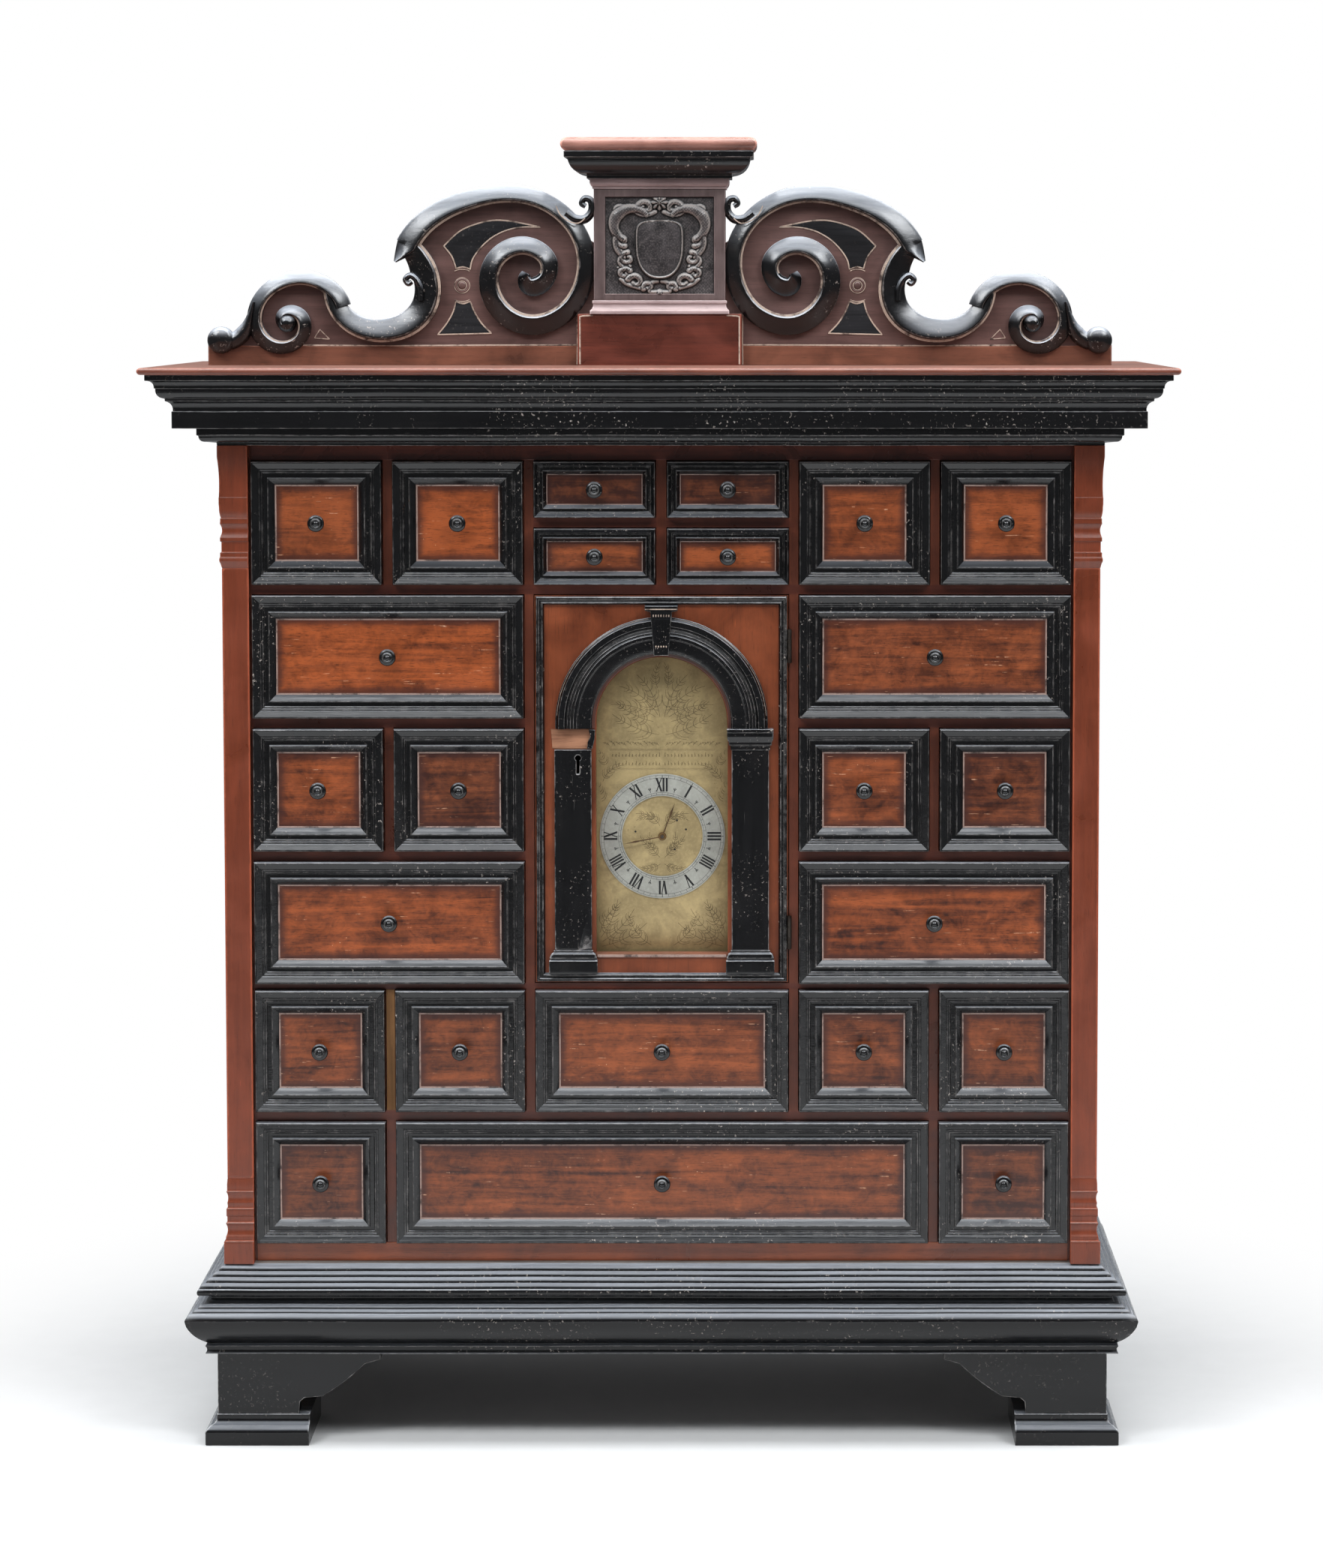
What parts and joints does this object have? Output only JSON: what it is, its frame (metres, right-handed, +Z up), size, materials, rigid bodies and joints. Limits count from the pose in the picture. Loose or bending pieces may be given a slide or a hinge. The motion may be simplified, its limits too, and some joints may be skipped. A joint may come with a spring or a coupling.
{
  "type": "coin cabinet",
  "caption": "Table cabinet for coins: small drawers in rows round an arched door with a clock dial, scroll pediment over a moulded cornice, bracket feet.",
  "frame": {"origin": "on the floor, in the middle of the cabinet's bounding box", "axes": "+X to the right seen from the front, +Y to the back, +Z up"},
  "size_m": [0.9, 0.36, 1.161],
  "materials": {
    "walnut": "waxed red-brown walnut",
    "drawer_wood": "waxed burr veneer with ebonised mouldings",
    "ebonised_wood": "ebonised, satin",
    "red_brown_wood": "waxed",
    "oak": "bare",
    "brass": "old brushed brass",
    "silvered_brass": "silvered, tarnished",
    "dark_steel": "blued steel and iron"
  },
  "bodies": {
    "case": {"foot_pads": "ebonised_wood", "bracket_feet": "ebonised_wood", "base_frame": "oak", "base_mouldings": "ebonised_wood", "case_boards": "walnut", "shelves": "walnut", "partitions": "walnut", "back_boards": "oak", "pilasters": "red_brown_wood", "cornice_boards": "walnut", "cornice_mouldings": "ebonised_wood", "pediment_boards": "walnut", "pediment_scrolls": "ebonised_wood", "pedestal": "walnut", "cartouche": "ebonised_wood", "pedestal_cap": "ebonised_wood", "dial_plate": "brass", "chapter_ring": "silvered_brass", "movement_frame": "brass", "case_hinge_leaves": "dark_steel"},
    "door": {"door_boards": "walnut", "door_mouldings": "ebonised_wood", "door_arch": "ebonised_wood", "door_columns": "ebonised_wood", "door_hinge_leaves": "dark_steel", "door_lock": "dark_steel"},
    "lock_bolt": {"lock_bolt": "dark_steel"},
    "drawer_1_far_left": {"drawer_1_far_left": "drawer_wood"},
    "drawer_1_left": {"drawer_1_left": "drawer_wood"},
    "drawer_1_mid_upper_left": {"drawer_1_mid_upper_left": "drawer_wood"},
    "drawer_1_mid_upper_right": {"drawer_1_mid_upper_right": "drawer_wood"},
    "drawer_1_mid_lower_left": {"drawer_1_mid_lower_left": "drawer_wood"},
    "drawer_1_mid_lower_right": {"drawer_1_mid_lower_right": "drawer_wood"},
    "drawer_1_right": {"drawer_1_right": "drawer_wood"},
    "drawer_1_far_right": {"drawer_1_far_right": "drawer_wood"},
    "drawer_2_left": {"drawer_2_left": "drawer_wood"},
    "drawer_2_right": {"drawer_2_right": "drawer_wood"},
    "drawer_3_far_left": {"drawer_3_far_left": "drawer_wood"},
    "drawer_3_left": {"drawer_3_left": "drawer_wood"},
    "drawer_3_right": {"drawer_3_right": "drawer_wood"},
    "drawer_3_far_right": {"drawer_3_far_right": "drawer_wood"},
    "drawer_4_left": {"drawer_4_left": "drawer_wood"},
    "drawer_4_right": {"drawer_4_right": "drawer_wood"},
    "drawer_5_far_left": {"drawer_5_far_left": "drawer_wood"},
    "drawer_5_left": {"drawer_5_left": "drawer_wood"},
    "drawer_5_middle": {"drawer_5_middle": "drawer_wood"},
    "drawer_5_right": {"drawer_5_right": "drawer_wood"},
    "drawer_5_far_right": {"drawer_5_far_right": "drawer_wood"},
    "drawer_6_left": {"drawer_6_left": "drawer_wood"},
    "drawer_6_middle": {"drawer_6_middle": "drawer_wood"},
    "drawer_6_right": {"drawer_6_right": "drawer_wood"},
    "minute": {"centre_arbor": "brass", "minute_hand": "dark_steel"},
    "hour": {"hour_wheel": "brass", "hour_hand": "dark_steel"},
    "minute_wheel": {"motion_wheel": "brass"},
    "barrel": {"going_barrel": "brass"},
    "third": {"third_arbor": "brass"},
    "escape": {"escape_arbor": "brass"},
    "pendulum": {"pendulum": "brass"}
  },
  "joints": [
    {"name": "drawer_1_far_left_slide", "type": "slide", "parent": "case", "child": "drawer_1_far_left", "axis": [0, -1, 0], "range_m": [0, 0.2]},
    {"name": "drawer_1_left_slide", "type": "slide", "parent": "case", "child": "drawer_1_left", "axis": [0, -1, 0], "range_m": [0, 0.2]},
    {"name": "drawer_1_mid_upper_left_slide", "type": "slide", "parent": "case", "child": "drawer_1_mid_upper_left", "axis": [0, -1, 0], "range_m": [0, 0.2]},
    {"name": "drawer_1_mid_upper_right_slide", "type": "slide", "parent": "case", "child": "drawer_1_mid_upper_right", "axis": [0, -1, 0], "range_m": [0, 0.2]},
    {"name": "drawer_1_mid_lower_left_slide", "type": "slide", "parent": "case", "child": "drawer_1_mid_lower_left", "axis": [0, -1, 0], "range_m": [0, 0.2]},
    {"name": "drawer_1_mid_lower_right_slide", "type": "slide", "parent": "case", "child": "drawer_1_mid_lower_right", "axis": [0, -1, 0], "range_m": [0, 0.2]},
    {"name": "drawer_1_right_slide", "type": "slide", "parent": "case", "child": "drawer_1_right", "axis": [0, -1, 0], "range_m": [0, 0.2]},
    {"name": "drawer_1_far_right_slide", "type": "slide", "parent": "case", "child": "drawer_1_far_right", "axis": [0, -1, 0], "range_m": [0, 0.2]},
    {"name": "drawer_2_left_slide", "type": "slide", "parent": "case", "child": "drawer_2_left", "axis": [0, -1, 0], "range_m": [0, 0.2]},
    {"name": "drawer_2_right_slide", "type": "slide", "parent": "case", "child": "drawer_2_right", "axis": [0, -1, 0], "range_m": [0, 0.2]},
    {"name": "drawer_3_far_left_slide", "type": "slide", "parent": "case", "child": "drawer_3_far_left", "axis": [0, -1, 0], "range_m": [0, 0.2]},
    {"name": "drawer_3_left_slide", "type": "slide", "parent": "case", "child": "drawer_3_left", "axis": [0, -1, 0], "range_m": [0, 0.2]},
    {"name": "drawer_3_right_slide", "type": "slide", "parent": "case", "child": "drawer_3_right", "axis": [0, -1, 0], "range_m": [0, 0.2]},
    {"name": "drawer_3_far_right_slide", "type": "slide", "parent": "case", "child": "drawer_3_far_right", "axis": [0, -1, 0], "range_m": [0, 0.2]},
    {"name": "drawer_4_left_slide", "type": "slide", "parent": "case", "child": "drawer_4_left", "axis": [0, -1, 0], "range_m": [0, 0.2]},
    {"name": "drawer_4_right_slide", "type": "slide", "parent": "case", "child": "drawer_4_right", "axis": [0, -1, 0], "range_m": [0, 0.2]},
    {"name": "drawer_5_far_left_slide", "type": "slide", "parent": "case", "child": "drawer_5_far_left", "axis": [0, -1, 0], "range_m": [0, 0.2]},
    {"name": "drawer_5_left_slide", "type": "slide", "parent": "case", "child": "drawer_5_left", "axis": [0, -1, 0], "range_m": [0, 0.2]},
    {"name": "drawer_5_middle_slide", "type": "slide", "parent": "case", "child": "drawer_5_middle", "axis": [0, -1, 0], "range_m": [0, 0.2]},
    {"name": "drawer_5_right_slide", "type": "slide", "parent": "case", "child": "drawer_5_right", "axis": [0, -1, 0], "range_m": [0, 0.2]},
    {"name": "drawer_5_far_right_slide", "type": "slide", "parent": "case", "child": "drawer_5_far_right", "axis": [0, -1, 0], "range_m": [0, 0.2]},
    {"name": "drawer_6_left_slide", "type": "slide", "parent": "case", "child": "drawer_6_left", "axis": [0, -1, 0], "range_m": [0, 0.2]},
    {"name": "drawer_6_middle_slide", "type": "slide", "parent": "case", "child": "drawer_6_middle", "axis": [0, -1, 0], "range_m": [0, 0.2]},
    {"name": "drawer_6_right_slide", "type": "slide", "parent": "case", "child": "drawer_6_right", "axis": [0, -1, 0], "range_m": [0, 0.2]},
    {"name": "door_swing", "type": "hinge", "parent": "case", "child": "door", "pos_m": [0.1132, -0.11125, 0.5838], "axis": [0, 0, 1], "range_deg": [0, 85]},
    {"name": "bolt_slide", "type": "slide", "parent": "door", "child": "lock_bolt", "axis": [-1, 0, 0], "range_m": [0, 0.005]},
    {"name": "minute_turn", "type": "hinge", "parent": "case", "child": "minute", "pos_m": [0, -0.05, 0.5392], "axis": [0, 1, 0], "continuous": true},
    {"name": "hour_turn", "type": "hinge", "parent": "case", "child": "hour", "pos_m": [0, -0.05, 0.5392], "axis": [0, 1, 0], "continuous": true},
    {"name": "minute_wheel_turn", "type": "hinge", "parent": "case", "child": "minute_wheel", "pos_m": [0.0096, -0.05, 0.52257], "axis": [0, 1, 0], "continuous": true},
    {"name": "barrel_turn", "type": "hinge", "parent": "case", "child": "barrel", "pos_m": [-0.02216, -0.05, 0.51083], "axis": [0, 1, 0], "continuous": true},
    {"name": "third_turn", "type": "hinge", "parent": "case", "child": "third", "pos_m": [0.01611, -0.05, 0.55476], "axis": [0, 1, 0], "continuous": true},
    {"name": "escape_turn", "type": "hinge", "parent": "case", "child": "escape", "pos_m": [0.00823, -0.05, 0.56959], "axis": [0, 1, 0], "continuous": true},
    {"name": "pendulum_swing", "type": "hinge", "parent": "case", "child": "pendulum", "pos_m": [0.00823, 0, 0.59359], "axis": [0, 1, 0], "range_deg": [-4, 4]}
  ],
  "couplings": [
    {"joint": "hour_turn", "follows": "minute_turn", "ratio": 0.083333},
    {"joint": "minute_wheel_turn", "follows": "minute_turn", "ratio": -0.33333},
    {"joint": "barrel_turn", "follows": "minute_turn", "ratio": -0.125},
    {"joint": "third_turn", "follows": "minute_turn", "ratio": -6},
    {"joint": "escape_turn", "follows": "minute_turn", "ratio": 30}
  ]
}
